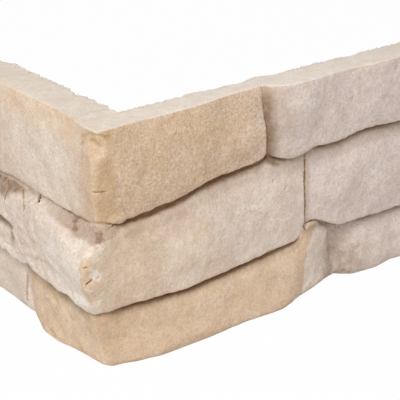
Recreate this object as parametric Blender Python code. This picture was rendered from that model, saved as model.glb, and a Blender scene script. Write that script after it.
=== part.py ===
"""Cast-stone cladding corner piece: two legs at a right angle, cast in one, whose outer faces are
moulded as three courses of rough stones with bed joints and upright joints between them.

The inner faces are flat and go against the wall's outer corner. The long leg runs along +X and the
short leg along +Y. Lengths are in millimetres until the points are placed.

A place on the moulded face is given by its station and its height. The station is the distance along
the face from the outer corner: above zero on the long leg, below zero on the short leg. How far the
face stands proud is measured from the nominal wall of its leg.
"""

import bmesh
import bpy
import numpy as np
from mathutils import Vector, noise

MM = 0.001

# Overall sizes, the legs measured along their outer faces
HEIGHT = 150.0
LONG_LEG = 300.0
SHORT_LEG = 200.0
LONG_WALL = 24.0
SHORT_WALL = 30.0

# Bed joints between the courses: nominal height, then (station, rise above it)
LOWER_BED = 41.0
LOWER_BED_LINE = [
    (-112, 0.6), (-98, -0.2), (-88, -0.4), (-82, 0.0), (-75, 1.6), (-57, 0.8), (-40, 0.9), (-24, 0.8),
    (-10, 0.0), (0, -2.6), (14, -3.5), (24, -3.7), (40, -4.7), (64, -5.9), (90, -4.7), (125, -2.2),
    (146, -0.8), (154, 0.8), (157, 3.0), (159, 6.9), (165, 9.5), (174, 7.9), (187, 1.9), (200, 1.3),
    (222, 0.7), (245, -0.2),
]
UPPER_BED = 98.0
UPPER_BED_LINE = [
    (-112, -8.4), (-97, -6.1), (-84, -6.4), (-72, -5.4), (-57, -6.8), (-40, -6.6), (-24, -5.6),
    (-8, -4.6), (0, -2.9), (13, -5.6), (28, -5.8), (47, -4.2), (65, -1.5), (76, 1.6), (89, 3.0),
    (105, 3.2), (121, 4.2), (126, 5.2), (128.5, 7.2), (131, 5.6), (135, 4.2), (140, 3.2), (147, 2.4),
    (157, 3.6), (163, 5.1), (180, 4.3), (191, 4.8), (199, 6.8), (217, 7.5), (231, 6.4), (241, 6.0),
]

# Height of each bed joint's gap, and how far it goes in behind the shallower of its two stones
LOWER_BED_GAP = [
    (-80, 1.6), (-50, 1.4), (-10, 1.2), (0, 0.9), (10, 1.2), (20, 2.4), (44, 3.2), (110, 3.4), (143, 2.6),
    (155, 1.4), (164, 1.0), (180, 1.4), (200, 2.2), (260, 2.0),
]
LOWER_BED_DEPTH = [
    (-50, 3.5), (-10, 3.0), (0, 1.8), (14, 3.0), (40, 4.5), (120, 4.5), (158, 2.5), (176, 2.0), (192, 0.4),
    (200, 2.5), (212, 4.0),
]
UPPER_BED_GAP = [
    (-60, 1.0), (-10, 0.8), (8, 0.8), (13, 2.4), (24, 3.4), (75, 4.2), (100, 4.0), (121, 2.8), (128.5, 3.8),
    (133, 1.4), (140, 1.0), (165, 0.9), (178, 2.0), (196, 2.8), (225, 2.2), (260, 2.0),
]
UPPER_BED_DEPTH = [
    (-60, 2.2), (-10, 1.6), (8, 1.6), (18, 4.0), (75, 5.0), (118, 3.0), (132, 2.0), (165, 2.0), (190, 4.5),
]
BED_UNDERCUT = 0.5  # rise of a gap's roof behind the upper stone's lower edge

# Rounding of the stones' edges
FOOT_ROUNDING = 1.4  # lower edges
HEAD_ROUNDING = 3.0  # upper edges, worn more
OUTER_ROUNDING = 1.0  # around the top and the base of the whole piece
ARRIS_WIDTH = 1.8  # outer corner
ARRIS_DROP = 1.0

# Worn spots on the outer corner: height, spread up and down, width on each face, and drop
CORNER_CHIPS = [
    (HEIGHT - 9.0, 7.0, 6.5, 2.6),
    (LOWER_BED, 6.5, 6.5, 3.2),
]

# Hollow in the low left part of the middle course, on the short leg
HOLLOW_END = -84.5
HOLLOW_RISE = 26.0  # its top, above the lower bed joint
HOLLOW_DEPTH = 7.0
HOLLOW_EDGE = 2.6
HOLLOW_CORNER = 5.0
HOLLOW_FADE = 25.0

# Unevenness of the stone faces: depth and length of the waves
BROAD_WAVE = (0.8, 24.0)
SHORT_WAVE = (0.4, 8.5)
BED_WAVE = (0.5, 7.0)

CORNER_BLEND = 40.0  # stretch of each face over which its stations shift to meet the outer corner
LEAN_BLEND = 20.0  # stretch on each side of a leaning upright joint that leans with it

# Spacing of the points that shape the face, and the share of its triangles that is kept
PITCH = 2.0
EDGE_STEPS = (0.5, 1.4, 2.8, 4.2)
JOINT_STEPS = (0.7, 1.5)
CORNER_STEPS = (0.7, 1.4, 3.0, 5.0)
TRIANGLE_SHARE = 0.2

STONE_COLOUR = (0.66, 0.55, 0.43, 1.0)
STONE_ROUGHNESS = 0.9


class Stone:
    """The face of one moulded stone on one leg. Its sections are given by station; each lists how far
    the face stands proud at the given shares of the course's height, from the foot to the head."""

    def __init__(self, sections, shares=(0.0, 0.35, 0.7, 1.0), roughness=1.0):
        self.sections = sections
        self.shares = shares
        self.roughness = roughness


class Joint:
    """An upright joint between two stones: its stations at the foot and the head of the course, its
    gap, how far its bottom stands proud, and the rounding of the stones before and after it. A worn
    joint is a shallow valley, with no steep sides."""

    def __init__(self, foot, head, gap, bottom, before, after, worn=False):
        self.foot = foot
        self.head = head
        self.gap = gap
        self.bottom = bottom
        self.before = before
        self.after = after
        self.worn = worn

    def station(self, share):
        return self.foot + (self.head - self.foot) * share


class Run:
    """The stones of one course along one leg, in the order of their stations."""

    def __init__(self, stones, joints=()):
        self.stones = stones
        self.joints = joints


def bottom_runs():
    short = Run(
        stones=[
            Stone({
                -180: (-6.0, -4.0, -4.0, -6.0), -130: (-6.5, -3.0, -2.0, -5.0), -84: (-6.0, -3.0, -2.0, -4.0),
            }),
            Stone({
                -84: (-4.0, -2.0, -1.0, -2.0), -76: (-2.6, -1.0, 0.0, -1.0), -67: (1.4, 0.0, -1.0, -1.0),
                -56: (2.8, 1.5, 1.0, 0.0), -46: (2.7, 2.5, 2.0, 0.0), -34: (-0.3, 2.0, 2.5, 0.5),
                -14: (-3.0, 0.0, 2.5, 2.5), 0: (-5.2, -0.6, 3.2, 4.6),
            }),
        ],
        joints=[Joint(foot=-83.5, head=-91.0, gap=1.0, bottom=-7.5, before=4.5, after=2.5)],
    )
    long = Run(
        stones=[
            Stone({
                0: (-1.4, -1.6, -1.2, -1.0), 21: (2.3, 1.5, 0.4, -1.5), 44: (7.0, 4.5, 2.2, -1.0),
                67: (7.0, 4.6, 2.4, -0.6), 100: (4.2, 3.4, 1.8, -0.6), 141: (5.2, 3.8, 1.8, -0.8),
                154: (0.2, 1.8, 1.4, -1.4), 166: (-4.0, -2.0, -1.6, -3.0), 178: (-8.0, -7.0, -6.5, -6.5),
                194: (-11.8, -11.0, -10.5, -10.0),
            }),
            Stone({
                194: (-8.2, -8.4, -9.0, -10.0), 202: (-5.8, -5.6, -7.0, -9.0), 212: (-3.6, -2.0, -3.6, -7.0),
                226: (-2.0, -0.5, -2.0, -6.0),
                241: (-4.6, -2.0, -2.5, -5.5), 262: (-2.6, 0.0, -1.0, -5.0), 285: (-3.0, -1.0, -2.0, -5.0),
            }),
        ],
        joints=[Joint(foot=195.0, head=188.5, gap=0.4, bottom=-12.8, before=2.4, after=12.0, worn=True)],
    )
    return short, long


def middle_runs():
    short = Run(
        stones=[
            Stone({
                -180: (3.0, 3.8, 5.0, 4.5, 3.0, 2.4, 2.0, -1.5),
                -150: (5.0, 5.8, 7.0, 7.0, 5.0, 4.4, 3.5, -1.0),
                -112: (5.0, 6.2, 7.5, 7.5, 6.0, 5.5, 4.5, 0.0),
                -84: (6.0, 7.8, 9.0, 9.0, 7.5, 7.0, 6.0, 1.0),
                -66: (7.0, 8.2, 9.5, 9.5, 8.5, 8.0, 7.0, 2.0),
                -50: (8.0, 8.4, 10.0, 10.5, 9.8, 9.5, 8.5, 2.0),
                -36: (8.0, 8.8, 11.0, 11.8, 11.4, 10.8, 8.8, -1.0),
                -20: (8.0, 9.0, 12.0, 12.8, 12.2, 10.0, 2.2, -1.2),
                0: (5.6, 8.6, 12.8, 14.0, 10.6, 4.8, 1.0, 0.0),
            }, shares=(0.0, 0.15, 0.35, 0.5, 0.7, 0.8, 0.88, 1.0), roughness=1.6),
        ],
    )
    long = Run(
        stones=[
            Stone({
                0: (2.0, 4.0, 3.6, 2.6, 0.2, -0.8), 8: (2.0, 3.6, 3.0, 2.4, 1.6, -1.2),
                16: (2.0, 2.8, 2.0, 1.2, 0.8, -0.4), 40: (1.4, 2.2, 1.0, 0.2, -0.2, -1.0),
                70: (1.0, 1.8, 0.8, -0.2, -0.8, -1.8), 95: (0.4, 1.6, 0.6, -1.0, -2.4, -4.6),
                130: (-0.6, 0.4, -0.2, -1.4, -2.6, -4.5), 160: (-1.6, -0.5, -1.0, -1.8, -2.4, -3.0),
            }, shares=(0.0, 0.35, 0.65, 0.8, 0.88, 1.0)),
            Stone({
                160: (-2.0, -1.0, -1.5, -3.0), 177: (0.0, 1.2, 1.0, -3.5), 220: (1.0, 2.4, 2.0, -4.0),
                262: (0.0, 1.5, 0.5, -5.0), 285: (-0.5, 1.0, 1.0, -4.0),
            }),
        ],
        joints=[Joint(foot=160.2, head=158.6, gap=0.3, bottom=-5.0, before=1.5, after=0.8)],
    )
    return short, long


def top_runs():
    short = Run(
        stones=[
            Stone({
                -180: (-2.0, -0.5, -1.5, -3.0), -150: (-2.4, -1.0, -1.0, -1.8),
                -110: (-1.2, -1.0, -1.5, -2.3), -80: (-0.7, -0.5, -2.0, -4.4),
                -50: (-0.2, 0.2, -2.0, -4.3), -25: (0.5, 1.2, 0.0, -2.7),
                -8: (0.6, 2.2, 1.4, -1.0), 0: (0.9, 2.7, 2.4, -1.2),
            }, roughness=0.8),
        ],
    )
    long = Run(
        stones=[
            Stone({
                0: (0.2, 0.4, 0.2, -1.2), 30: (-0.5, 1.0, 1.0, -2.2), 73: (-1.0, 1.2, 0.3, -3.2),
                94: (-2.0, 0.0, -2.6, -5.6), 115: (-3.0, -1.8, -4.8, -7.8), 130: (-4.0, -3.6, -6.4, -7.8),
            }, roughness=0.8),
            Stone({
                130: (-2.0, 0.0, 0.0, -3.0), 140: (0.0, 2.0, 2.4, 0.4), 151: (1.0, 3.0, 3.6, 1.6),
                172: (1.0, 2.0, 2.0, 1.0), 200: (0.0, 1.0, 1.0, 0.2), 224: (1.0, 2.6, 2.8, 2.0),
                262: (0.0, 1.5, 1.0, -2.2), 285: (-1.0, 0.5, 0.5, -2.0),
            }),
        ],
        joints=[Joint(foot=130.4, head=126.8, gap=0.8, bottom=-9.5, before=1.8, after=7.0)],
    )
    return short, long


COURSES = (bottom_runs(), middle_runs(), top_runs())


def between(ys, slopes, left, t, width):
    """Smooth step between two known values with known slopes."""
    right = left + 1
    return (
        (1 + 2 * t) * (1 - t) ** 2 * ys[left]
        + t * (1 - t) ** 2 * width * slopes[left]
        + t**2 * (3 - 2 * t) * ys[right]
        + t**2 * (t - 1) * width * slopes[right]
    )


def smooth_through(points, at):
    """A smooth curve through a few (place, value) points, at the given places; level past its ends."""
    xs = np.array([p[0] for p in points], float)
    ys = np.array([p[1] for p in points], float)
    slopes = np.gradient(ys, xs)
    slopes[0] = slopes[-1] = 0.0
    at = np.clip(at, xs[0], xs[-1])
    left = np.clip(np.searchsorted(xs, at, side="right") - 1, 0, len(xs) - 2)
    width = xs[left + 1] - xs[left]
    return between(ys, slopes, left, (at - xs[left]) / width, width)


def waves(wave, stations, heights, seed):
    """Smooth unevenness of the given depth and length, the same at every run."""
    depth, length = wave
    return np.array([
        depth * noise.noise(Vector((s / length, h / length, seed)), noise_basis="PERLIN_ORIGINAL")
        for s, h in zip(stations, heights)
    ])


def bed_joint(level, stations):
    """Height of the lower edge of the stones above a bed joint, the joint's gap and its depth."""
    nominal, line, gap, depth = (
        (LOWER_BED, LOWER_BED_LINE, LOWER_BED_GAP, LOWER_BED_DEPTH),
        (UPPER_BED, UPPER_BED_LINE, UPPER_BED_GAP, UPPER_BED_DEPTH),
    )[level]
    ragged = waves(BED_WAVE, stations, np.zeros_like(stations), 3.1 + level)
    edge = nominal + smooth_through(line, stations) + ragged
    return edge, smooth_through(gap, stations), smooth_through(depth, stations)


def course_limits(level, stations):
    """Heights of a course's lower and upper edges."""
    foot, head = np.zeros_like(stations), np.full_like(stations, HEIGHT)
    if level > 0:
        foot = bed_joint(level - 1, stations)[0]
    if level < len(COURSES) - 1:
        edge, gap, _ = bed_joint(level, stations)
        head = edge - gap
    return foot, head


def quarter_round(distance, radius):
    """Rise from 0 to 1 of a rounded edge, over its radius."""
    return np.sqrt(1.0 - (1.0 - np.clip(distance / radius, 0.0, 1.0)) ** 2)


def hollow(stations, heights):
    """Depth of the hollow: steep at its upper and right edges, fading out downwards and leftwards."""
    along = HOLLOW_END - stations
    down = LOWER_BED + HOLLOW_RISE - heights
    corner = np.hypot(np.minimum(along - HOLLOW_CORNER, 0.0), np.minimum(down - HOLLOW_CORNER, 0.0))
    inside = np.minimum(np.minimum(along, down), HOLLOW_CORNER - corner)
    fade = np.clip(1.0 - np.maximum(down, along / 2) / HOLLOW_FADE, 0.0, 1.0)
    return HOLLOW_DEPTH * np.clip(inside / HOLLOW_EDGE, 0.0, 1.0) * fade


def arris_drop(stations, heights):
    """How far the outer corner is worn back, more so at its worn spots."""
    width, drop = ARRIS_WIDTH, ARRIS_DROP
    for height, spread, chip_width, chip_drop in CORNER_CHIPS:
        chip = np.exp(-(((heights - height) / spread) ** 2))
        width = width + (chip_width - ARRIS_WIDTH) * chip
        drop = drop + (chip_drop - ARRIS_DROP) * chip
    return drop * np.clip(1.0 - np.abs(stations) / width, 0.0, 1.0) ** 1.2


def stone_face(stone, stations, share):
    """How far a stone's face stands proud along its stations, at one share of the course's height."""
    stops = sorted(stone.sections)
    curves = [[(stop, stone.sections[stop][k]) for stop in stops] for k in range(len(stone.shares))]
    values = np.array([smooth_through(curve, stations) for curve in curves])
    shares = np.array(stone.shares)
    slopes = np.gradient(values, shares, axis=0)
    left = min(int(np.searchsorted(shares, share, side="right")) - 1, len(shares) - 2)
    width = shares[left + 1] - shares[left]
    return between(values, slopes, left, (share - shares[left]) / width, width)


def run_face(run, level, stations, heights, share):
    """How far a whole run stands proud along the stations, with its upright joints."""
    ends = [joint.station(share) for joint in run.joints]
    limits = [-np.inf, *ends, np.inf]
    proud = np.zeros_like(stations)
    uneven = waves(BROAD_WAVE, stations, heights, level + 1.3)
    uneven += waves(SHORT_WAVE, stations, heights, level + 5.9)
    for stone, low, high in zip(run.stones, limits, limits[1:]):
        face = stone_face(stone, stations, share) + stone.roughness * uneven
        proud = np.where((stations >= low) & (stations <= high), face, proud)
    for joint, end in zip(run.joints, ends):
        away = stations - end
        radius = np.where(away < 0, joint.before, joint.after)
        reach = np.clip((np.abs(away) - joint.gap / 2) / radius, 0.0, 1.0)
        rise = np.sin(np.pi / 2 * reach) if joint.worn else quarter_round(reach, 1.0)
        proud = joint.bottom + (proud - joint.bottom) * rise
    return proud


def edge_rounding(level, span, share):
    """How far the face rounds back near a course's lower and upper edges, the course being span high."""
    foot = OUTER_ROUNDING if level == 0 else FOOT_ROUNDING
    head = OUTER_ROUNDING if level == len(COURSES) - 1 else HEAD_ROUNDING
    at_foot = foot * (1 - quarter_round(span * share, foot))
    at_head = head * (1 - quarter_round(span * (1 - share), head))
    return at_foot + at_head


def column_stations():
    """Stations of the columns of points: one on the corner and on each upright joint, and a few close
    by on each side of them."""
    joints = [joint.foot for course in COURSES for run in course for joint in run.joints]
    marks = sorted([-SHORT_LEG, 0.0, LONG_LEG, *joints])
    stations = []
    for low, high in zip(marks, marks[1:]):
        stations += list(np.linspace(low, high, max(2, round((high - low) / PITCH)), endpoint=False))
    close = [joint + side * step for joint in joints for side in (-1, 1) for step in JOINT_STEPS]
    close += [side * step for side in (-1, 1) for step in CORNER_STEPS]
    return np.array(sorted({round(station, 4) for station in [*stations, *close, LONG_LEG]}))


def row_shares(level):
    """Shares of a course's height at which its rows lie, close together near both edges."""
    span = (LOWER_BED, UPPER_BED - LOWER_BED, HEIGHT - UPPER_BED)[level]
    inner = np.arange(EDGE_STEPS[-1] + PITCH, span - EDGE_STEPS[-1] - PITCH / 2, PITCH)
    upper = [span - step for step in EDGE_STEPS[::-1]]
    return [place / span for place in [0.0, *EDGE_STEPS, *inner, *upper, span]]


def leant(level, stations, share):
    """The stations of a row, shifted so that its columns follow the upright joints beside them."""
    shifted = stations.copy()
    for run in COURSES[level]:
        for joint in run.joints:
            near = np.clip(1.0 - np.abs(stations - joint.foot) / LEAN_BLEND, 0.0, 1.0)
            shifted += (joint.station(share) - joint.foot) * near
    return shifted


def course_rows(level, columns):
    """The rows of one course: each is its stations, its heights, and how far it stands proud on the
    short leg and on the long leg."""
    rows = []
    for share in row_shares(level):
        stations = leant(level, columns, share)
        foot, head = course_limits(level, stations)
        heights = foot + (head - foot) * share
        short, long = (run_face(run, level, stations, heights, share) for run in COURSES[level])
        if level == 1:
            short = short - hollow(stations, heights)
        worn = edge_rounding(level, head - foot, share)
        rows.append((stations, heights, short - worn, long - worn))
    return rows


def bed_rows(level, below, above):
    """The two rows at the bottom of a bed joint, between the rows below and above it."""
    stations = (below[0] + above[0]) / 2
    depth = bed_joint(level, stations)[2]
    short, long = (np.minimum(below[k], above[k]) - depth for k in (2, 3))
    return [
        (stations, below[1] - BED_UNDERCUT, short, long),
        (stations, above[1] + BED_UNDERCUT, short, long),
    ]


def placed(stations, heights, short, long):
    """The points of a row, in metres, with the two legs' faces mitred at the outer corner."""
    drop = arris_drop(stations, heights)
    short_out = SHORT_WALL + short - drop
    long_out = LONG_WALL + long - drop
    corner = int(np.argmin(np.abs(stations)))
    shift_x = SHORT_WALL - short_out[corner]
    shift_y = LONG_WALL - long_out[corner]
    near = np.clip(1.0 - np.abs(stations) / CORNER_BLEND, 0.0, 1.0) ** 2
    x = np.where(stations < 0, -short_out, stations - SHORT_WALL + shift_x * near)
    y = np.where(stations < 0, -stations - LONG_WALL + shift_y * near, -long_out)
    return [Vector(point) * MM for point in zip(x, y, heights)]


def face_rows():
    """Every row of the moulded face, from the base to the top."""
    columns = column_stations()
    rows = course_rows(0, columns)
    for level in range(1, len(COURSES)):
        course = course_rows(level, columns)
        rows += bed_rows(level - 1, rows[-1], course[0]) + course
    return [placed(*row) for row in rows]


def corner_mesh():
    """The moulded face as a grid, closed by the top, the base, both ends and both flat backs."""
    rows = face_rows()
    columns = len(rows[0])
    bm = bmesh.new()
    grid = bmesh.ops.create_grid(bm, x_segments=columns - 1, y_segments=len(rows) - 1, size=1.0)
    in_order = sorted(grid["verts"], key=lambda v: (round(v.co.y, 6), v.co.x))
    face = [in_order[start:start + columns] for start in range(0, len(in_order), columns)]
    for row, points in zip(face, rows):
        for vert, point in zip(row, points):
            vert.co = point

    plan = [(LONG_LEG - SHORT_WALL, 0.0), (0.0, 0.0), (0.0, SHORT_LEG - LONG_WALL)]
    base = [bm.verts.new(Vector((x, y, 0.0)) * MM) for x, y in plan]
    top = [bm.verts.new(Vector((x, y, HEIGHT)) * MM) for x, y in plan]
    bm.faces.new([*face[0], *base])
    bm.faces.new([*face[-1], *top])
    bm.faces.new([*[row[-1] for row in face], top[0], base[0]])
    bm.faces.new([*[row[0] for row in face], top[2], base[2]])
    bm.faces.new([base[0], base[1], top[1], top[0]])
    bm.faces.new([base[1], base[2], top[2], top[1]])
    bm.normal_update()
    bmesh.ops.triangulate(bm, faces=bm.faces[:])
    bmesh.ops.recalc_face_normals(bm, faces=bm.faces[:])
    mesh = bpy.data.meshes.new("cladding_corner")
    bm.to_mesh(mesh)
    bm.free()
    return mesh


def cast_stone():
    material = bpy.data.materials.new("cast_stone")
    material.use_nodes = True
    shader = material.node_tree.nodes["Principled BSDF"]
    shader.inputs["Base Color"].default_value = STONE_COLOUR
    shader.inputs["Roughness"].default_value = STONE_ROUGHNESS
    shader.inputs["Metallic"].default_value = 0.0
    return material


def cladding_corner(collection):
    """The casting, with its origin at the middle of its base."""
    mesh = corner_mesh()
    mesh.materials.append(cast_stone())
    casting = bpy.data.objects.new("cladding_corner", mesh)
    collection.objects.link(casting)
    fewer = casting.modifiers.new("fewer_triangles", "DECIMATE")
    fewer.ratio = TRIANGLE_SHARE
    bpy.context.view_layer.update()
    shown = casting.evaluated_get(bpy.context.evaluated_depsgraph_get())
    corners = [Vector(corner) for corner in shown.bound_box]
    low, high = (Vector([pick(c[axis] for c in corners) for axis in range(3)]) for pick in (min, max))
    casting.location = -Vector(((low.x + high.x) / 2, (low.y + high.y) / 2, low.z))
    print("the backs' corner lies at", [round(c / MM, 3) for c in casting.location], "mm")
    return casting


for leftover in list(bpy.data.objects):
    bpy.data.objects.remove(leftover, do_unlink=True)
piece = bpy.data.collections.new("stone_cladding_corner_piece")
bpy.context.scene.collection.children.link(piece)
cladding_corner(piece)
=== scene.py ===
from math import cos, radians, sin

import bpy
import numpy as np
from mathutils import Matrix, Vector, kdtree, noise
from mathutils.bvhtree import BVHTree


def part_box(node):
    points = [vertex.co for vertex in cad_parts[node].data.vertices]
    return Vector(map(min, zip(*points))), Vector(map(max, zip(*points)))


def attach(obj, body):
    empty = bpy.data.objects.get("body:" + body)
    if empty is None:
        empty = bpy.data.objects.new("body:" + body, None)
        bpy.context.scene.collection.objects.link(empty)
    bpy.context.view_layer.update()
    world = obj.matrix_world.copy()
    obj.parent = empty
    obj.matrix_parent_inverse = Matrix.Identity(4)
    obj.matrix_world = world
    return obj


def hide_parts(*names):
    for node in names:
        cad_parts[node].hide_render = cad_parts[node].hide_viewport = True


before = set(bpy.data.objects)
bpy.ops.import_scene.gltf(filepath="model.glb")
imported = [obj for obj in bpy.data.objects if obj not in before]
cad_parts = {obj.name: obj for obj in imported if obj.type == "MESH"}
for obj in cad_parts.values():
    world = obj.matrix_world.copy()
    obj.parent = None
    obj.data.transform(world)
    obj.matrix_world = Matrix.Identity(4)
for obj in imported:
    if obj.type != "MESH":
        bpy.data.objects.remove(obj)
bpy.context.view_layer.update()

# The casting's body. The real piece is one block of cast stone, poured into a rubber mould that was
# taken from split stones. It starts as the solid's own shape, remeshed finely enough to carry the
# grain of the mould. Lengths are millimetres from the line where the two flat backs meet.
MM = 0.001
LONG_BACK = 270.0   # from the backs' corner to the long leg's end
SHORT_BACK = 176.0  # and to the short leg's end
HEIGHT = 150.0
MESH_CELL = 0.65
FACET_ROUNDS = 20   # rounds of smoothing that take the solid's flat facets off the stone faces
FACET_REACH = 0.25  # and the most that they move a point
BACK_MARGIN = (2.0, 5.0)    # from the backs to where the moulded face begins
BED_MARGIN = (-1.2, -0.3)   # and the margins along the top, the base and the two ends
END_MARGIN = (-1.0, -0.3)
LEVEL = (0.6, 0.9)          # upward share of the normal that counts as the top or the base

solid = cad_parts["cladding_corner"]
low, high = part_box("cladding_corner")
backs_corner = Vector((high.x - LONG_BACK * MM, high.y - SHORT_BACK * MM, low.z))

casting = bpy.data.objects.new("cast_stone_corner", solid.data.copy())
casting.data.materials.clear()
bpy.context.scene.collection.objects.link(casting)


def apply_modifier(kind, **settings):
    modifier = casting.modifiers.new(kind.lower(), kind)
    for name, value in settings.items():
        setattr(modifier, name, value)
    shown = casting.evaluated_get(bpy.context.evaluated_depsgraph_get())
    mesh = bpy.data.meshes.new_from_object(shown)
    casting.modifiers.clear()
    casting.data = mesh


def mesh_points():
    mesh = casting.data
    places = np.zeros(len(mesh.vertices) * 3)
    mesh.vertices.foreach_get("co", places)
    return (places.reshape(-1, 3) - np.array(backs_corner)) / MM


def mesh_normals():
    normals = np.zeros(len(casting.data.vertices) * 3, np.float32)
    casting.data.vertex_normals.foreach_get("vector", normals)
    return normals.reshape(-1, 3).astype(float)


def mesh_edges():
    edges = np.zeros(len(casting.data.edges) * 2, np.int32)
    casting.data.edges.foreach_get("vertices", edges)
    return edges.reshape(-1, 2)


def set_points(points):
    casting.data.vertices.foreach_set("co", (points * MM + np.array(backs_corner)).ravel())
    casting.data.update()


def evened(values, edges, rounds, share=0.5):
    """The values, each drawn towards the mean of its neighbours."""
    a, b = edges.T
    count = np.bincount(edges.ravel(), minlength=len(values))[:, None]
    for _ in range(rounds):
        total = np.stack([
            np.bincount(a, column[b], len(values)) + np.bincount(b, column[a], len(values))
            for column in values.T
        ], axis=1)
        values = values + share * (total / count - values)
    return values


def rise(value, start, end):
    """Smooth rise from 0 at start to 1 at end."""
    t = np.clip((value - start) / (end - start), 0.0, 1.0)
    return t * t * (3 - 2 * t)


apply_modifier("REMESH", mode="VOXEL", voxel_size=MESH_CELL * MM)
points, normals, edges = mesh_points(), mesh_normals(), mesh_edges()
x, y, z = points.T
moulded = rise(np.maximum(-x, -y), *BACK_MARGIN)
moulded *= 1 - rise(z - HEIGHT, *BED_MARGIN) * rise(normals[:, 2], *LEVEL)
moulded *= 1 - rise(-z, *BED_MARGIN) * rise(-normals[:, 2], *LEVEL)
moulded *= 1 - rise(np.maximum(x - LONG_BACK, y - SHORT_BACK), *END_MARGIN)
shift = evened(points, edges, FACET_ROUNDS) - points
shift *= np.minimum(1.0, FACET_REACH / np.maximum(np.linalg.norm(shift, axis=1), 1e-9))[:, None]
points += shift * moulded[:, None]
set_points(points)

# The courses. Three courses of stones run round the corner, with a bed joint between each pair. A
# place on the face is its station, measured from the outer corner along the long leg, below zero
# along the short leg, and its height. The lines give the lower edge of the stones above each joint.
LOWER_BED = [
    (-200, 41.6), (-98, 40.8), (-82, 41), (-75, 42.6), (-24, 41.8), (-10, 41), (0, 38.4), (14, 37.5),
    (40, 36.3), (64, 35.1), (90, 36.3), (125, 38.8), (146, 40.2), (154, 41.8), (157, 44), (159, 47.9),
    (165, 50.5), (174, 48.9), (187, 42.9), (200, 42.3), (300, 40.8),
]
UPPER_BED = [
    (-200, 89.6), (-112, 89.6), (-97, 91.9), (-57, 91.4), (-40, 91.4), (-8, 93.4), (0, 95.1), (13, 92.4),
    (28, 92.2), (47, 93.8), (65, 96.5), (76, 99.6), (89, 101), (121, 102.2), (128.5, 105.2), (135, 102.2),
    (147, 100.4), (163, 103.1), (191, 102.8), (199, 104.8), (217, 105.5), (300, 104),
]
LONG_WALL = 24.0
SHORT_WALL = 30.0
FACING_ROUNDS = 45     # rounds of smoothing that give the way in which a stone faces as a whole
ARRIS = (-38, -24.5)   # beyond this x and y, the rounding of the outer corner counts as the long leg


def line_at(line, places):
    return np.interp(places, *zip(*line))


facing = evened(normals, edges, FACING_ROUNDS)
outward = facing / np.linalg.norm(facing, axis=1)[:, None]
on_long = (facing[:, 0] > facing[:, 1]) | (x > 0) | ((x > ARRIS[0]) & (y < ARRIS[1]))
on_long &= ~(y > 0)
station = np.where(on_long, np.maximum(x + SHORT_WALL, 0.1), np.minimum(-(y + LONG_WALL), -0.1))
lower, upper = line_at(LOWER_BED, station), line_at(UPPER_BED, station)
bottom_course = 1 - rise(z, lower - 2.2, lower - 0.8)
top_course = rise(z, upper - 1.8, upper - 0.4)
middle_course = (1 - bottom_course) * (1 - top_course)

# The stones' surfaces. Each is a split face: broad scallops, then the grain of the stone. The middle
# course on the short leg is broken along its layers, and is crumbly under the course above.
SCALLOPS, GRAIN, FINE_GRAIN, LAYERS = 0.5, 0.16, 0.10, 0.8  # depths
SUNK = 0.1  # the relief is set this far back as a whole


def lumps(points, size, seed, octaves=1, stretch=(1.0, 1.0, 1.0)):
    """Smooth noise of about -1 to 1 whose lumps are about size across, longer where stretched."""
    shift = np.array((7.31, 3.77, 5.13)) * seed
    places = points / (size * np.array(stretch)) + shift
    if octaves == 1:
        return 1.6 * np.array([noise.noise(p) for p in places.tolist()])
    return 1.3 * np.array([noise.fractal(p, 0.8, 2.1, octaves) for p in places.tolist()])


def near(value, middle, reach):
    """1 at the middle, about a third at the reach, and soon 0 beyond it."""
    return np.exp(-((value - middle) / reach) ** 2)


split = middle_course * rise(-station, 4, 18)
far_split = split * (0.25 + 0.75 * rise(-station, 44, 62))
broken_end = bottom_course * rise(station - 0.5 * z, 150, 160) * (1 - rise(station, 205, 225))
crumbly = near(station, -66, 22) * near(z, 85, 9)
corner_ledge = near(station, -14, 24) * near(z, 88, 5) * middle_course
beside_gap = bottom_course * near(station, 194, 11) * on_long
scallops = SCALLOPS * lumps(points, 17.0, seed=1, octaves=2)
grain = GRAIN * lumps(points, 4.6, seed=2, octaves=2) + FINE_GRAIN * lumps(points, 1.5, seed=3)
layers = LAYERS * lumps(points, 14.0, seed=4, octaves=2, stretch=(1.0, 1.9, 0.8))
plates = rise(lumps(points, 12.0, seed=5, octaves=2, stretch=(1.0, 1.4, 0.8)), -0.05, 0.2)
plates += rise(lumps(points, 8.0, seed=6, octaves=2, stretch=(1.0, 1.2, 1.0)), 0.05, 0.3)
relief = scallops + grain * (1 + 1.8 * crumbly + 0.8 * broken_end + 1.6 * corner_ledge + 1.5 * beside_gap)
relief += layers * (0.5 * split + 0.6 * broken_end) + (plates - 1) * (0.55 * far_split + 0.3 * broken_end)
points += normals * ((relief - SUNK) * moulded)[:, None]

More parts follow.
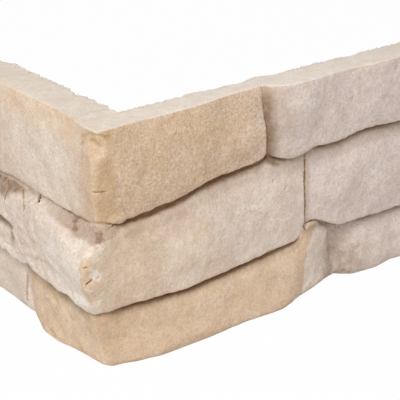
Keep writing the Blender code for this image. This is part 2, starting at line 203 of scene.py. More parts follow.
# Cracks and slits, where a thin rib of the mould stood or the stone was split. Each is a line through
# a few points, with its half width and depth.
WORN_END_CRACKS = [
    ([(-29.0, -9.5, 143.8), (-28.6, -14.6, 147.0), (-26.8, -21.9, 147.8), (-22.4, -22.8, 146.0)], 1.1, 0.5),
    ([(-22.4, -22.8, 146.0), (-18.2, -23.2, 143.4)], 0.9, 0.4),
    ([(-29.0, -8.8, 139.8), (-28.4, -15.0, 143.2), (-27.4, -20.0, 143.6), (-25.3, -22.3, 140.4)], 0.9, 0.4),
]
CRACKS = [
    # upright joint of the middle course
    ([(128.5, -22, 101), (129.0, -22, 88), (129.4, -22, 74), (130.2, -22, 62), (130.8, -21, 46)], 1.3, 1.6),
    # outer corner: one across the top course, two in the middle course
    ([(-32.0, -22.9, 115.0), (-28.9, -24.3, 114.6), (-24.4, -24.5, 113.8)], 0.9, 0.95),
    ([(-43.2, -26.7, 72.4), (-41.2, -27.7, 72.5)], 1.0, 1.0),
    ([(-41.7, -27.3, 61.6), (-38.0, -28.0, 63.4)], 1.1, 1.4),
    # short leg, under the top course: the slit and two fissures
    ([(-28.5, 40.9, 91.0), (-30.6, 39.6, 90.3), (-32.4, 37.6, 88.9)], 1.5, 3.4),
    ([(-31.7, 58.0, 90.6), (-34.0, 53.0, 88.6), (-36.0, 51.5, 85.6), (-36.8, 49.0, 80.2)], 1.7, 0.95),
    ([(-30.5, 79.6, 89.6), (-33.0, 73.6, 88.0), (-35.7, 72.0, 84.4), (-36.6, 71.4, 78.0)], 2.1, 0.95),
    # corner ledge
    ([(-30.5, -18.2, 89.8), (-30.6, -21.9, 88.4), (-31.4, -24.0, 86.4), (-31.2, -25.2, 84.8)], 1.0, 0.8),
    ([(-24.4, -24.3, 89.7), (-21.9, -23.7, 90.6), (-18.7, -22.1, 91.2)], 1.0, 0.6),
    # worn upper end of the outer corner
    *WORN_END_CRACKS,
    # bottom course, beside its upright joint on the short leg
    ([(-28.4, 63.5, 33.0), (-27.6, 65.4, 24.0), (-26.6, 68.0, 14.0), (-25.7, 69.3, 6.9)], 2.0, 0.75),
    ([(-28.4, 56.5, 30.2), (-29.0, 56.0, 22.5), (-28.1, 57.8, 14.3), (-27.6, 60.8, 7.0)], 1.8, 0.5),
]
CRACK_BELT = 6.0      # a crack marks only the skin within this distance of its line
DARKEST_DEPTH = 1.1     # a crack this deep is darkened most, with dirt and painted shade
SLIT_DEPTH = 3.0      # past this depth a crack is a slit, painted dark inside as shade
wander = 0.5 * np.abs(lumps(points, 2.2, seed=8))


def cleft(path, half_width):
    """1 on a line drawn on the face through a few points, falling to 0 at the half width."""
    path = [np.array(place, float) for place in path]
    nearest = np.full(len(points), np.inf)
    for start, end in zip(path, path[1:]):
        along = end - start
        share = np.clip((points - start) @ along / (along @ along), 0, 1)
        gap = points - start - share[:, None] * along
        depth = np.einsum("ij,ij->i", gap, outward)
        side = np.linalg.norm(gap - depth[:, None] * outward, axis=1)
        nearest = np.minimum(nearest, np.where(np.abs(depth) < CRACK_BELT, side, np.inf))
    return 1 - rise(nearest + wander, 0.2 * half_width, half_width)


cracked = np.zeros(len(points))
for path, half_width, depth in CRACKS:
    mark = cleft(path, half_width) * moulded
    points -= facing * (mark * depth)[:, None]
    cracked = np.maximum(cracked, mark * (min(1.0, depth / DARKEST_DEPTH) + 0.6 * (depth > SLIT_DEPTH)))

# Chips, hollows and bruises from the mould and from handling: centre, radii and depth. A negative
# depth is a raised knob.
CHIPS = [
    # the worn upper end of the outer corner
    ((-30.0, -19.0, 144.0), (4.5, 5.5, 4.5), 0.8),
    ((-26.5, -23.0, 139.0), (3.6, 3.5, 6.0), 0.8),
    ((-20.0, -24.0, 145.0), (5.0, 3.0, 2.6), 0.6),
    # foot of the bottom course on the short leg
    ((-33.0, 29.0, 3.0), (4.5, 7.0, 3.6), 2.6),
    ((-31.5, 44.0, 5.0), (4.0, 3.0, 5.0), 1.0),
    ((-32.0, 25.0, 27.0), (4.0, 5.6, 2.6), 0.6),
    ((-32.0, 36.0, 25.0), (4.0, 4.0, 2.0), -0.6),
    ((-29.0, 53.0, 7.0), (8.0, 8.0, 12.0), -0.9),
    # foot of the middle course round the corner
    ((-38.0, 12.0, 43.5), (5.0, 7.0, 3.5), -0.6),
    ((-36.0, -17.0, 42.0), (12.0, 20.0, 8.0), -2.2),
    # foot of the top course beside the corner
    ((-17.0, -25.0, 94.0), (9.0, 7.0, 5.0), -2.2),
    # foot of the middle course beside the bottom course's broken end
    ((136.5, -16.0, 47.0), (14.0, 8.0, 4.5), -2.8),
    # edges of the long leg's far top stone
    ((98.5, -17.0, 150.5), (4.5, 6.0, 3.5), 1.0),
    ((166.0, -25.0, 148.0), (6.0, 3.0, 2.6), 0.7),
    ((203.0, -25.5, 143.0), (2.2, 3.0, 2.2), 0.9),
    ((223.0, -26.0, 119.0), (2.2, 3.0, 2.2), 0.8),
]


def spot(centre, radii, soft=0.35):
    """1 within the soft share of the radii, falling to 0 at the radii."""
    away = np.linalg.norm((points - centre) / np.array(radii), axis=1)
    return 1 - rise(away, soft, 1.0)


for centre, radii, depth in CHIPS:
    points -= facing * (spot(centre, radii) * depth * moulded)[:, None]

# The layered lip along the foot of the middle course on the short leg: under a ragged line, the face
# steps back and is rougher, and comes forward again to the foot.
LIP = [(-200, 50), (-88, 47.6), (-64, 53.4), (-45, 57), (-28, 55.4), (-20, 48), (-14, 44)]
LIP_STEP, LIP_RETURN, LIP_ROUGHNESS = 0.6, 1.1, 0.45
lip_line = line_at(LIP, station) + 1.1 * lumps(points, 7.0, seed=9)
lip = middle_course * (1 - rise(z, lip_line - 1.0, lip_line + 0.8)) * rise(-station, 10, 16)
lip *= 0.5 + 0.5 * rise(-station, 46, 62)
to_foot = np.clip((lip_line - z) / np.maximum(lip_line - lower, 2.0), 0.0, 1.0)
lip_depth = LIP_STEP - LIP_RETURN * to_foot + LIP_ROUGHNESS * lumps(points, 5.0, seed=10, octaves=2)
points -= facing * (lip * moulded * lip_depth)[:, None]

# The foot of the bottom course swells a little before it turns under.
SWELL = [
    (-200, 1.4), (-80, 0.7), (-15, 0.9), (0, 1.9), (60, 1.8), (85, 2.0), (110, 2.0), (130, 0.8), (150, 0.8),
    (170, 2.0), (300, 2.0),
]
SWELL_HEIGHTS = (3, 19)
on_short = rise(-station, -7, 7)[:, None]
away_from_back = on_short * (-1.0, 0.0, 0.0) + (1 - on_short) * (0.0, -1.0, 0.0)
in_front = np.where(on_long, rise(-y, 7, 14), rise(-x, 9, 17))
swell = bottom_course * (1 - rise(z, *SWELL_HEIGHTS)) * in_front * line_at(SWELL, station)
points += away_from_back * swell[:, None]

# Crumbs along the edges of the backs, where the mould was struck off and the paste stood a little
# over it. They stay in the solid's box.
CRUMB_DEPTH = 0.9
BREAK_PLACE, BREAK_REACH, BREAK_DEPTH = 126, 9, 3.0  # a low stretch in the short leg's upper edge
to_back = np.where(on_long, -y, -x)
edge_line = near(z, HEIGHT, 2.2) * near(to_back, 0, 2.4) + near(z, 0, 2.0) * near(to_back, 0, 2.2)
crumbs = np.where(on_long, 0.6, 1.5) * lumps(points, 3.6, seed=12, octaves=2)
crumbs += 1.1 * lumps(points, 16.0, seed=13) + np.where(on_long, -0.7, 0.5)
crumbs -= BREAK_DEPTH * near(y, BREAK_PLACE, BREAK_REACH) * (z > 100)
backward = np.where(on_long[:, None], (0.0, 1.0, 0.0), (1.0, 0.0, 0.0))
points += backward * (edge_line * crumbs * CRUMB_DEPTH)[:, None]
points[:, 2] -= edge_line * np.maximum(0.0, -crumbs) * CRUMB_DEPTH

# Pits where air bubbles sat against the mould. Most are in the crumbly places.
PITS = 70
PIT_RADII = (0.8, 1.3)
PIT_DEPTH = 0.7  # share of the radius
rng = np.random.default_rng(7)
faces = np.flatnonzero(moulded > 0.9)
weights = (1 + 26 * crumbly + 2.0 * (station > 129) + 12 * corner_ledge)[faces]
pitted = np.zeros(len(points))
for place in rng.choice(faces, PITS, replace=False, p=weights / weights.sum()):
    radius = rng.uniform(*PIT_RADII)
    close = faces[np.abs(points[faces] - points[place]).max(axis=1) < radius]
    away = np.linalg.norm(points[close] - points[place], axis=1)
    dent = np.clip(1 - (away / radius) ** 2, 0, 1)
    points[close] -= normals[place] * (dent * radius * PIT_DEPTH)[:, None]
    pitted[close] = np.maximum(pitted[close], dent)


def inside_box(points):
    """The points, none of them outside the solid's own box."""
    return np.clip(points, (np.array(low) - backs_corner) / MM, (np.array(high) - backs_corner) / MM)


points = inside_box(points)
set_points(points)

# The washes, brushed into the mould before it was filled: tan and rose-grey for each course, as lines
# of (station, strength). They change at the outer corner. They are worked out while the mesh is even.
TAN_LINES = {
    "top": [
        (-200, 0.4), (-110, 0.36), (-60, 0.2), (-34, 0.24), (-18, 0.46), (-1.5, 0.8), (0.8, 1.25), (11, 1.2),
        (13.5, 0.84), (30, 0.78), (80, 0.78), (118, 0.66), (129, 0.4), (131, 0.22), (138, 0.14),
        (160, 0.04), (300, 0.0),
    ],
    "middle": [
        (-200, 0.14), (-60, 0.08), (-20, 0.0), (-0.1, 0.0), (0.1, 0.62), (22, 0.58), (45, 0.42),
        (75, 0.34), (100, 0.22), (130, 0.14), (159.5, 0.16), (161.5, 0.06), (300, 0.02),
    ],
    "bottom": [
        (-200, 0.14), (-84, 0.2), (-80, 0.46), (-40, 0.4), (-10, 0.5), (-0.1, 0.7), (0.1, 1.05),
        (30, 0.82), (60, 0.7), (150, 0.72), (300, 0.72),
    ],
}
ROSE_LINES = {
    "top": [
        (-200, 0.35), (-60, 0.3), (-10, 0.1), (0, 0.0), (60, 0.34), (110, 0.55), (126, 0.6), (132, 0.9),
        (300, 1.0),
    ],
    "middle": [
        (-200, 0.4), (-40, 0.35), (-20, 0.2), (0, 0.0), (50, 0.3), (90, 0.6), (159, 0.6), (162, 0.95),
        (300, 1.0),
    ],
    "bottom": [
        (-200, 0.3), (-86, 0.25), (-80, 0.1), (0, 0.0), (160, 0.1), (182, 0.5), (192, 1.0), (210, 0.85),
        (300, 0.85),
    ],
}
END_FACE = [(0, 158), (25, 158.8), (34, 161.7), (41, 168), (55, 180)]  # (height, station) where it starts
BARE_TAN, BARE_ROSE = 0.05, 0.1  # what of them shows on the backs, ends, top and base
FOOT_BAND = 20  # up to this height they reach round the lower edge

normals = mesh_normals()
x, y, z = points.T
wash_place = station + 0.8 * lumps(points, 7.0, seed=30, octaves=2)


def brushed(lines):
    wash = top_course * line_at(lines["top"], wash_place)
    wash += middle_course * line_at(lines["middle"], wash_place)
    return wash + bottom_course * line_at(lines["bottom"], station)


end_face = bottom_course * rise(station - line_at(END_FACE, z) + 1.2 * lumps(points, 6.0, seed=21), -1.0, 1.0)
far_end_face = rise(station, 184, 192)
corner_flake = spot((-27, -22.5, 142), (7, 9, 12), 0.5) + 0.25 * lumps(points, 6.0, seed=22)
corner_flake = rise(corner_flake, 0.3, 0.6) * top_course
tan, rose = brushed(TAN_LINES), brushed(ROSE_LINES)
tan *= 1 - middle_course * rise(z, 74, 80) * rise(-x, 33, 37)
tan *= 1 - 0.75 * end_face * (1 + 0.3 * far_end_face)
tan = np.where(station > 0, tan * (1 - 0.42 * corner_flake), tan)
tan *= 1 - 0.5 * spot((-37, -24, 42), (9, 8, 9), 0.4) * middle_course
rose = np.maximum(rose, 0.25 * end_face)
lip_tan = 0.5 * near(z, lip_line, 3.0) * middle_course * rise(station, -76, -66) * rise(-station, 16, 26)
lip_tan = np.maximum(lip_tan, 0.8 * lip * rise(lumps(points, 8.0, seed=27, octaves=2), -0.3, 0.8))
tan = np.maximum(tan, 0.5 * lip_tan)
washed = np.maximum(moulded, (z < FOOT_BAND) * rise(np.maximum(-x, -y), 8, 12))
tan = tan * washed + BARE_TAN * (1 - washed)
rose = rose * washed + BARE_ROSE * (1 - washed)

# Peach on the top course's head and the bottom course of the short leg, ochre in the corner's cracks,
# in a ring and in blotches below them, and olive-tan streaks on the middle course
OCHRE_RING = [
    (-30.5, 37, 31), (-31, 30, 32.5), (-31.5, 22, 30.5), (-31.8, 19, 25.5), (-31.5, 24, 21.5),
    (-30.5, 33, 23.5),
]
peach = rise(z, 129, 143) * top_course * rise(-station, 12, 34) * np.maximum(moulded, rise(-x, 24, 29))
peach = np.maximum(peach, 0.8 * bottom_course * rise(-station, 0, 4) * rise(station, -82, -74) * moulded)
blotches = bottom_course * rise(-station, 2, 10) * rise(station, -90, -80)
blotches *= rise(lumps(points, 9.0, seed=25, octaves=2), 0.0, 0.5)
streaks = middle_course * near(station, 62, 20) * near(z, 70, 14)
streaks *= rise(lumps(points, 7.0, seed=26, octaves=2, stretch=(1.0, 1.0, 2.6)), -0.1, 0.6)
ochre = np.maximum.reduce([
    *[cleft(path, 2.6) * moulded for path, _, _ in WORN_END_CRACKS],
    0.6 * cleft(OCHRE_RING, 2.4) * (z < 40),
    0.5 * spot((-41.5, -26, 66), (6, 5, 10)) * (station > 0),
    0.8 * spot((-32, 29, 3), (4, 7, 4)),
    0.5 * blotches, 0.6 * streaks, 0.3 * corner_flake,
])

# Dust-pale places: the short leg's middle course, the lip, the broken end, the top face towards its
# far end, and every edge and knob that stands in front of its surroundings
NEAR_ROUNDS = 9  # rounds of smoothing that give a point's close surroundings
fine_hollow = np.einsum("ij,ij->i", evened(points, edges, NEAR_ROUNDS) - points, normals)
worn = rise(-fine_hollow, 0.12, 0.5) * moulded * rise(z, 3, 7)
worn *= 1 - 0.8 * top_course * near(station, -1, 5)
worn *= 1 - 0.8 * middle_course * on_long * rise(-x, 27, 30)
pale = 0.8 * middle_course * rise(-station, 0, 3) * (1 - rise(-station, 30, 60))
pale *= (1 - 0.8 * lip_tan) * (1 - 0.7 * rise(z, 68, 80))
pale = np.maximum.reduce([
    pale,
    0.35 * bottom_course * rise(-station, 78, 84),
    0.5 * lip * moulded,
    0.65 * rise(x, -100, 60) * rise(z, 148, 149.5) * rise(normals[:, 2], 0.5, 0.8),
    0.4 * end_face * (1 - far_end_face),
    0.35 * top_course * rise(-station, 8, 30) * (z < 149),
])

# The ledge under the top course round the corner, painted grey-brown, weaker further along the short leg
LEDGE_EDGE = [
    (-200, 89), (-60, 89), (-45, 87), (-30, 85.1), (-23, 84.4), (-14, 83.6), (0, 83.4), (3, 83.5), (8, 85),
    (15, 87.2), (19, 92),
]
RED_SPOTS = [(-29.9, -0.2, 89.2), (-32.9, -3.6, 85.8), (-29.4, -23.6, 88.3), (-30.4, -25.2, 85.6)]
RED_RADII = (5.0, 4.6, 3.6)
ledge_edge = line_at(LEDGE_EDGE, station) + 0.5 * lumps(points, 5.0, seed=23, octaves=2)
ledge = rise(z, ledge_edge - 0.5, ledge_edge + 0.9) * middle_course * (1 - rise(station, 16, 20))
ledge *= 0.25 + 0.75 * rise(station, -60, -30)
red = np.minimum(sum(spot(centre, RED_RADII, 0.1) for centre in RED_SPOTS), 1.0)
red *= middle_course * rise(z, ledge_edge - 1.0, ledge_edge + 0.6)

# Soil and painted shade: brown in the hollows and cracks, as dirt and painted shade, dirt in the pits, and a
# painted shadow line under the short leg's lower bed joint. Hollow places come from how far a point lies
# behind its wide surroundings.
WIDE_ROUNDS = 80
wide_hollow = np.einsum("ij,ij->i", evened(points, edges, WIDE_ROUNDS) - points, outward)
gritty = crumbly + corner_ledge
# painted shadow on the bottom course just under the middle course's foot
under_joint_shadow = rise(z, lower - 7.5, lower - 5.5) * bottom_course
soil_and_shade = np.maximum.reduce([
    # painted shade, with some dirt, in the hollow places
    0.85 * rise(wide_hollow, 0.6, 2.2),
    1.2 * cracked,
    0.7 * pitted * rise(gritty, 0.1, 0.5),
    0.6 * rise(lumps(points, 2.6, seed=29), 0.55, 0.9) * (gritty + 1.3 * beside_gap),
    0.9 * under_joint_shadow * rise(-station, 4, 14) * rise(station, -94, -82),
])

# Brown shading on each stone where another stands over it or beside it: beside the top course's
# joint, at the foot of the broken end, in the hollow at the short leg, and under the bed joints
TOP_JOINT_HEAD, TOP_JOINT_LEAN = 96.8, 0.0766  # x at the top face, and how much it moves per mm down
HOLLOW_END, HOLLOW_TOP = -84.5, 67
MIDDLE_JOINT_PLACE, MIDDLE_JOINT_LEAN = 131.2, 0.03  # x at 50 mm up, and how much less it is per mm above
CREVICE = [(-200, 77), (-104, 78), (-92, 81), (-84, 85), (-70, 88)]
past_joint = x - TOP_JOINT_HEAD - TOP_JOINT_LEAN * (HEIGHT - z)
flank = 0.75 * (1 - rise(past_joint, 1.0, 7.0)) + 0.25 * (1 - rise(past_joint, 6.0, 24.0))
flank *= rise(past_joint, -1.6, -0.4) * top_course * on_long * (1 - 0.5 * rise(z, 138, 149))
beside_top_joint = near(station, 132, 8) * rise(z, upper - 8, upper - 4) * middle_course
beside_joint = np.abs(x - MIDDLE_JOINT_PLACE + MIDDLE_JOINT_LEAN * (z - 50))
beside_joint = (1 - rise(beside_joint, 0.8, 3.0)) * middle_course * on_long
foot_shade = bottom_course * near(station - 0.2 * (z - 20), 192, 9.0) * on_long
foot_shade *= 1 - 0.4 * rise(z, 20, 32)
low_patch = bottom_course * rise(station, 186, 196) * (1 - rise(station, 204, 232)) * (1 - rise(z, 14, 26))
low_patch *= 0.6 + 0.4 * rise(lumps(points, 4.0, seed=31, octaves=2), -0.3, 0.3)
hollow_shade = np.maximum(1 - rise(HOLLOW_TOP - z, 5.5, 10.5), 1 - rise(HOLLOW_END - station, 9.0, 14.0))
hollow_shade *= (station < HOLLOW_END) * rise(z, 46, 56) * (1 - rise(z - HOLLOW_TOP, -1.5, 0.5))
crevice = rise(z + 1.6 * lumps(points, 7.0, seed=28, octaves=2) - line_at(CREVICE, station), 0, 5)
foot_line = middle_course * near(z, upper - 1.6, 1.1) * rise(-station, 80, 90)
under_lip = rise(z, lower - 14, lower - 5.5) * bottom_course * rise(-station, -2, 3)
under_lip *= rise(station, -94, -82) * (0.7 - 0.35 * rise(station, -20, -6))
deep = rise(station, 62, 92) * (1 - rise(station, 130, 142))
under_top = 0.35 * rise(z, upper - 14, upper - 8) + (0.15 + 0.3 * deep) * rise(z, upper - 7, upper - 4.5)
under_top *= (1 - 0.7 * rise(z, upper - 3.0, upper - 1.5)) * middle_course * rise(station, 14, 22)
under_middle = rise(z, lower - 8, lower - 3) * (1 - 0.7 * rise(z, lower - 2.5, lower - 1))
under_middle *= bottom_course * rise(station, 2, 12)
top_rim = top_course * (1 - rise(z, upper + 0.2, upper + 1.8)) * rise(-station, 20, 50)
bottom_rim = bottom_course * (1 - rise(z, 0.3, 2.4)) * rise(station, 0, 6)
shade = np.maximum.reduce([
    flank, 1.5 * beside_top_joint, 0.45 * beside_joint, 0.7 * foot_shade, 0.65 * low_patch,
    hollow_shade * middle_course, crevice * middle_course * rise(-station, 64, 86), 1.2 * foot_line,
    under_lip, under_top, 0.6 * under_middle, 0.6 * top_rim, 0.5 * bottom_rim,
])

# The even mesh is thinned, and each point that is left takes the stains and painted shade of the nearest even
# point.
KEPT_SHARE = 0.185
SHARP_EDGE = radians(38)
grainy = 0.6 + 0.4 * top_course * rise(station, 9, 14) * (1 - rise(past_joint, -3, 1))
STAINS_AND_SHADE = {
    "tan": tan, "rose": rose, "peach": peach, "ochre": ochre, "pale": pale, "worn": worn,
    "ledge": ledge * moulded, "red": red, "soil_and_shade": soil_and_shade * moulded, "crack": cracked * moulded,
    "shade": shade * washed, "grainy": grainy, "front": washed,
}
even_points = points.copy()
apply_modifier("DECIMATE", ratio=KEPT_SHARE)
mesh = casting.data
set_points(inside_box(mesh_points()))
tree = kdtree.KDTree(len(even_points))
for index, place in enumerate(even_points.tolist()):
    tree.insert(place, index)
tree.balance()
nearest = np.array([tree.find(place)[1] for place in mesh_points().tolist()])
for name, amount in STAINS_AND_SHADE.items():
    mesh.attributes.new(name, "FLOAT", "POINT").data.foreach_set("value", amount[nearest].astype(np.float32))
for polygon in mesh.polygons:
    polygon.use_smooth = True
mesh.set_sharp_from_angle(angle=SHARP_EDGE)

# Painted shade, with some dirt, where the surface is sheltered: the share of short rays that meet the stone
# again.
SHELTER_RAYS = 14
SHELTER_REACH = 9.0
SHELTER_START = 0.3  # the rays start this far in front of the skin
SHELTER_TILT = 1.05  # and lean this much towards its normal
tree = BVHTree.FromPolygons([v.co for v in mesh.vertices], [tuple(p.vertices) for p in mesh.polygons])
rays = [Vector(d).normalized() for d in rng.normal(size=(SHELTER_RAYS, 3))]
rays += [Vector((0, -0.5, 1)).normalized(), Vector((-0.5, 0, 1)).normalized()]
final_normals = mesh_normals()
shown_in_front = STAINS_AND_SHADE["front"][nearest] > 0.5
occlusion_shade = np.zeros(len(mesh.vertices))
for index in np.flatnonzero(shown_in_front):
    normal = Vector(final_normals[index])
    start = mesh.vertices[index].co + normal * SHELTER_START * MM
    hits = 0
    for ray in rays:
        ray = (normal * SHELTER_TILT + ray).normalized()
        hits += tree.ray_cast(start, ray, SHELTER_REACH * MM)[0] is not None
    occlusion_shade[index] = hits / len(rays)
occlusion_shade = evened(occlusion_shade[:, None], mesh_edges(), 2)[:, 0]
mesh.attributes.new("occlusion_shade", "FLOAT", "POINT").data.foreach_set("value", occlusion_shade.astype(np.float32))

# The finish: cement stone coloured through, with the tan and rose-grey washes brushed into the mould,
# dust-pale where the edges are worn, and brown with dirt and painted shade in the hollows, seams and
# sheltered places.
stone = bpy.data.materials.new("cast_stone")
stone.use_nodes = True
shader = stone.node_tree.nodes["Principled BSDF"]


def add(kind, inputs, **settings):
    node = stone.node_tree.nodes.new(kind)
    for name, value in settings.items():
        setattr(node, name, value)
    for name, value in inputs.items():
        if isinstance(value, bpy.types.NodeSocket):
            stone.node_tree.links.new(value, node.inputs[name])
        else:
            node.inputs[name].default_value = value
    return node


def colour(*seen):
    """Red, green and blue as they are seen on screen, 0 to 255, made linear."""
    return (*[(c / 255 / 12.92) if c < 11 else ((c / 255 + 0.055) / 1.055) ** 2.4 for c in seen], 1.0)


def over(share, under, upper, mode="MIX"):
    node = add("ShaderNodeMix", {0: share, 6: under, 7: upper}, data_type="RGBA", blend_type=mode)
    return node.outputs[2]


def maths(operation, *values):
    return add("ShaderNodeMath", dict(enumerate(values)), operation=operation).outputs[0]


def ramp(value, start, end, low_value=0.0, high_value=1.0, shape="SMOOTHSTEP"):
    return add(
        "ShaderNodeMapRange",
        {"Value": value, "From Min": start, "From Max": end, "To Min": low_value, "To Max": high_value},
        interpolation_type=shape,
    ).outputs[0]


CLOUD_SPAN = (0.3, 0.7)  # most of a cloud's values lie in this span
object_place = add("ShaderNodeTexCoord", {}).outputs["Object"]


def cloud(size, detail=2.0, roughness=0.55):
    """Soft noise fixed to the casting, whose patches are about size across."""
    return add(
        "ShaderNodeTexNoise",
        {"Vector": object_place, "Scale": 1 / (size * MM), "Detail": detail, "Roughness": roughness},
    ).outputs["Fac"]


def by_cloud(value, low_value, high_value):
    return ramp(value, *CLOUD_SPAN, low_value, high_value)


# reads one per-point attribute: a real stain or wear, or painted shade
def per_point(name):
    return add("ShaderNodeAttribute", {}, attribute_name=name).outputs["Fac"]


def tinted(tone, value, lows, highs, span=CLOUD_SPAN):
    """The tone, multiplied by red, green and blue levels that follow a cloud."""
    channels = {k: ramp(value, *span, lows[k], highs[k], "LINEAR") for k in range(3)}
    return over(1.0, tone, add("ShaderNodeCombineColor", channels).outputs[0], "MULTIPLY")


CREAM = colour(238, 222, 205)
ROSE_GREY = colour(220, 204, 197)
TAN = colour(218, 190, 162)
OCHRE = colour(204, 170, 124)
PEACH = colour(234, 205, 174)
PALE = colour(248, 238, 229)
LEDGE = colour(192, 170, 152)
RED = colour(136, 102, 88)
SHADE = colour(140, 115, 91)
# dirt brown, used also as painted shade in the hollows, seams and sheltered places
SOIL_AND_SHADE = colour(186, 154, 118)
# painted dark shade inside the slits and deep cracks
SLIT = colour(66, 46, 30)
SPECK = colour(150, 120, 94)

drift = cloud(18.0, 3.0, 0.55)
patches = cloud(8.0, 2.0, 0.5)
mottle = cloud(4.2, 3.0, 0.6)
grit = cloud(2.0, 3.0, 0.65)
fine = cloud(1.2, 2.0, 0.7)
dots = cloud(2.8, 1.0, 0.5)

# the washes over the cream stone
tone = over(maths("ADD", per_point("rose"), by_cloud(drift, -0.25, 0.25)), CREAM, ROSE_GREY)
tone = over(maths("MULTIPLY", per_point("pale"), by_cloud(drift, 0.6, 1.0)), tone, PALE)
tan_share = maths("ADD", per_point("tan"), by_cloud(mottle, -0.1, 0.1))
tan_share = maths("ADD", tan_share, by_cloud(drift, -0.12, 0.12))
tone = over(ramp(tan_share, 0.0, 0.9), tone, TAN)
tone = over(ramp(tan_share, 0.8, 1.4, 0.0, 0.8), tone, OCHRE)
tone = over(maths("MULTIPLY", per_point("peach"), ramp(drift, 0.35, 0.6, 0.45, 0.85)), tone, PEACH)
tone = over(maths("MULTIPLY", per_point("ochre"), ramp(mottle, 0.35, 0.65, 0.2, 0.9)), tone, OCHRE)
tone = over(maths("MULTIPLY", per_point("ledge"), by_cloud(mottle, 0.7, 1.0)), tone, LEDGE)
reddish = maths("ADD", per_point("red"), by_cloud(fine, -0.5, 0.5))
reddish = maths("ADD", reddish, maths("MULTIPLY", per_point("ledge"), 0.22))
tone = over(ramp(reddish, 0.5, 1.1, 0.0, 0.75), tone, RED)

# uneven colour of the stone, its grain and its dark specks
tone = tinted(tone, patches, (0.95, 0.935, 0.91), (1.03, 1.045, 1.06))
tone = tinted(tone, mottle, (0.94, 0.93, 0.91), (1.05, 1.05, 1.05))
speckled = maths("MULTIPLY", per_point("front"), per_point("grainy"))
tone = over(speckled, tone, tinted(tone, grit, (0.86, 0.83, 0.80), (1.10, 1.115, 1.125)))
fine_grained = tinted(tone, fine, (0.74, 0.72, 0.70), (1.20, 1.21, 1.22), span=(0.25, 0.75))
tone = over(maths("MAXIMUM", speckled, 0.35), tone, fine_grained)
specks = maths("MULTIPLY", ramp(grit, 0.56, 0.72), ramp(drift, 0.35, 0.65, 0.3, 1.0))
tone = over(maths("MULTIPLY", maths("MULTIPLY", specks, speckled), 0.4), tone, SPECK)
tone = over(maths("MULTIPLY", maths("MULTIPLY", ramp(dots, 0.70, 0.76), speckled), 0.6), tone, SOIL_AND_SHADE)

# wear, painted shade, and dirt with painted shade in the sheltered places and hollows
tone = over(maths("MULTIPLY", per_point("worn"), 0.4), tone, PALE)
tone = over(maths("MULTIPLY", per_point("shade"), by_cloud(mottle, 0.65, 0.95)), tone, SHADE)
dirt_and_shade = maths("MAXIMUM", ramp(per_point("occlusion_shade"), 0.22, 0.85, 0.0, 0.75), per_point("soil_and_shade"))
dirt_and_shade = maths("ADD", dirt_and_shade, by_cloud(mottle, -0.12, 0.12))
tone = over(ramp(dirt_and_shade, 0.05, 0.95, 0.0, 0.75), tone, SOIL_AND_SHADE)
# painted dark shade inside the cracks and slits
tone = over(ramp(per_point("crack"), 0.45, 1.35, 0.0, 0.92), tone, SLIT)

BUMP_DEPTH = 0.6
fine_relief = maths("ADD", grit, maths("MULTIPLY", fine, 0.4))
bump = add("ShaderNodeBump", {
    "Height": maths("SUBTRACT", maths("MULTIPLY", mottle, 1.2), fine_relief),
    "Distance": BUMP_DEPTH * MM, "Strength": 0.6,
})
stone.node_tree.links.new(tone, shader.inputs["Base Color"])
stone.node_tree.links.new(by_cloud(mottle, 0.82, 0.96), shader.inputs["Roughness"])
stone.node_tree.links.new(bump.outputs[0], shader.inputs["Normal"])
shader.inputs["Specular IOR Level"].default_value = 0.3

mesh.materials.append(stone)
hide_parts("cladding_corner")
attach(casting, "root")

# The floor: matt white studio paper, which keeps only a faint shadow of the piece.
FLOOR_REACH = 3.0   # metres each way
PAPER_GREY = 0.8
PAPER_ROUGHNESS = 0.8
PAPER_WHITE = 0.975  # share of plain white that the camera sees
corners = [(-1, -1), (1, -1), (1, 1), (-1, 1)]
floor_mesh = bpy.data.meshes.new("floor")
floor_mesh.from_pydata([(a * FLOOR_REACH, b * FLOOR_REACH, low.z) for a, b in corners], [], [(0, 1, 2, 3)])
floor = bpy.data.objects.new("floor", floor_mesh)
bpy.context.scene.collection.objects.link(floor)
paper = bpy.data.materials.new("floor_paper")
paper.use_nodes = True
paper_nodes, paper_links = paper.node_tree.nodes, paper.node_tree.links
surface = paper_nodes["Principled BSDF"]
surface.inputs["Base Color"].default_value = (PAPER_GREY, PAPER_GREY, PAPER_GREY, 1)
surface.inputs["Roughness"].default_value = PAPER_ROUGHNESS
glow = paper_nodes.new("ShaderNodeEmission")
glow.inputs["Color"].default_value = (1, 1, 1, 1)
paper_path = paper_nodes.new("ShaderNodeLightPath")
seen = paper_nodes.new("ShaderNodeMath")
seen.operation = "MULTIPLY"
seen.inputs[1].default_value = PAPER_WHITE
mixed = paper_nodes.new("ShaderNodeMixShader")
paper_links.new(paper_path.outputs["Is Camera Ray"], seen.inputs[0])
paper_links.new(seen.outputs[0], mixed.inputs["Fac"])
paper_links.new(surface.outputs[0], mixed.inputs[1])
paper_links.new(glow.outputs[0], mixed.inputs[2])
paper_links.new(mixed.outputs[0], paper_nodes["Material Output"].inputs["Surface"])
floor_mesh.materials.append(paper)

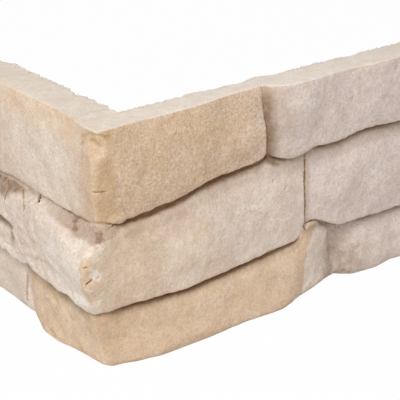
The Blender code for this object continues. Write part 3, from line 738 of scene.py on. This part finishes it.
# The light: a white room with one large soft lamp above the left front and a weak one on the right.
ROOM_LIGHT = 0.32
LAMP_AIM = (0.03, 0.0, 0.07)  # metres from the backs' corner
world = bpy.data.worlds.new("studio")
bpy.context.scene.world = world
world.use_nodes = True
room_nodes, room_links = world.node_tree.nodes, world.node_tree.links
sky = room_nodes["Background"]
sky.inputs["Color"].default_value = (1, 1, 1, 1)
room_path = room_nodes.new("ShaderNodeLightPath")
level = room_nodes.new("ShaderNodeMapRange")
level.inputs["To Min"].default_value = ROOM_LIGHT
level.inputs["To Max"].default_value = 1.0
room_links.new(room_path.outputs["Is Camera Ray"], level.inputs["Value"])
room_links.new(level.outputs[0], sky.inputs["Strength"])


def soft_lamp(name, place, size, power):
    lamp = bpy.data.lights.new(name, "AREA")
    lamp.shape = "SQUARE"
    lamp.size = size
    lamp.energy = power
    holder = bpy.data.objects.new(name, lamp)
    holder.location = place
    aim = backs_corner + Vector(LAMP_AIM) - holder.location
    holder.rotation_euler = aim.to_track_quat("-Z", "Y").to_euler()
    bpy.context.scene.collection.objects.link(holder)


soft_lamp("left_softbox", (-1.12, -0.80, 1.48), size=0.9, power=26.4)
soft_lamp("front_softbox", (0.5, -1.3, 0.8), size=0.8, power=3)

# The camera stands where the photograph was taken from, as solved from the photograph's edges.
AZIMUTH, ELEVATION = radians(37.55), radians(23.316)
CAMERA_PLACE = (-397.4, -596.5, 402.4)
LENS, SENSOR = 118.34, 36.0
forward = Vector((sin(AZIMUTH) * cos(ELEVATION), cos(AZIMUTH) * cos(ELEVATION), -sin(ELEVATION)))
right = Vector((cos(AZIMUTH), -sin(AZIMUTH), 0.0))
upward = right.cross(forward)
view = Matrix((right, upward, -forward)).transposed().to_4x4()
view.translation = Vector(CAMERA_PLACE) * MM + backs_corner
lens = bpy.data.cameras.new("camera")
lens.lens = LENS
lens.sensor_width = SENSOR
camera = bpy.data.objects.new("camera", lens)
camera.matrix_world = view
bpy.context.scene.collection.objects.link(camera)
bpy.context.scene.camera = camera
bpy.context.scene.view_settings.view_transform = "Standard"
